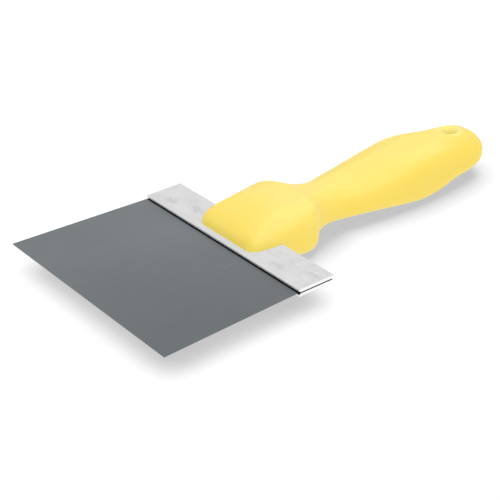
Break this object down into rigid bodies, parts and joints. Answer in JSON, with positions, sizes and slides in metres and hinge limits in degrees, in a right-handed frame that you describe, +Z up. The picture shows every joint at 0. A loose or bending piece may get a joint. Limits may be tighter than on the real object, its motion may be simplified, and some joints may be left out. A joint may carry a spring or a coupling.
{
  "type": "flexible putty knife",
  "caption": "Wide flexible putty and joint knife: thin flared spring-steel blade, aluminium backing channel and a moulded yellow handle with a hang hole.",
  "frame": {"origin": "bottom centre of the tool's box, on the plane that the head and the grip rest on", "axes": "+X across the blade, +Y from the working edge to the butt of the handle, +Z up through the flat faces of the blade"},
  "size_m": [0.127, 0.2606, 0.0286],
  "materials": {
    "moulded_plastic": "fine satin mould texture, light yellow",
    "satin_aluminium": "brushed lengthwise, satin, light scuffs",
    "spring_steel": "hardened and tempered, blue-grey, fine grain",
    "rivet_steel": "zinc plated"
  },
  "bodies": {
    "handle_body": {"handle": "moulded_plastic", "backing": "satin_aluminium", "blade_root": "spring_steel", "rivet_left": "rivet_steel", "rivet_middle": "rivet_steel", "rivet_right": "rivet_steel"},
    "blade_body": {"blade": "spring_steel"}
  },
  "joints": [
    {"name": "blade_flex", "type": "hinge", "parent": "handle_body", "child": "blade_body", "pos_m": [0, -0.06267, 0.0138], "axis": [-1, 0, 0], "range_deg": [-10, 25], "stiffness_Nm_per_rad": 7.3}
  ]
}
